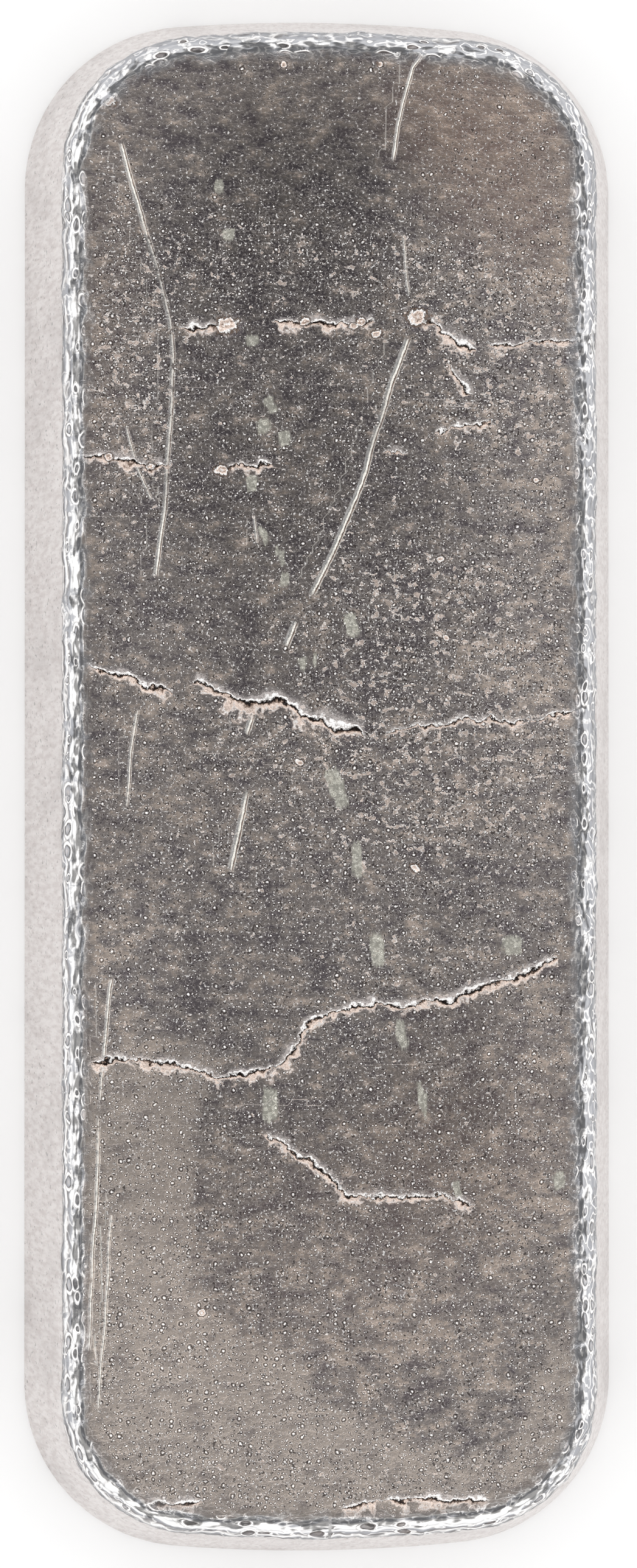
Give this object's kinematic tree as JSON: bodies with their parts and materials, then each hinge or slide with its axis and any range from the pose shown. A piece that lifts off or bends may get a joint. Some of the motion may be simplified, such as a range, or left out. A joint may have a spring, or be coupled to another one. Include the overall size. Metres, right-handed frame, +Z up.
{
  "type": "metal ingot",
  "caption": "Cast silver ingot with leaning walls, round corners and flat faces to rest on and to stack on.",
  "frame": {"origin": "centre of the base, which is the wide face that the ingot lies on", "axes": "+X across the ingot, +Y along its length, +Z up out of the base towards the narrow face"},
  "size_m": [0.091, 0.237, 0.0246],
  "materials": {
    "cast_silver": "satin"
  },
  "bodies": {
    "root": {"ingot": "cast_silver"}
  },
  "joints": []
}
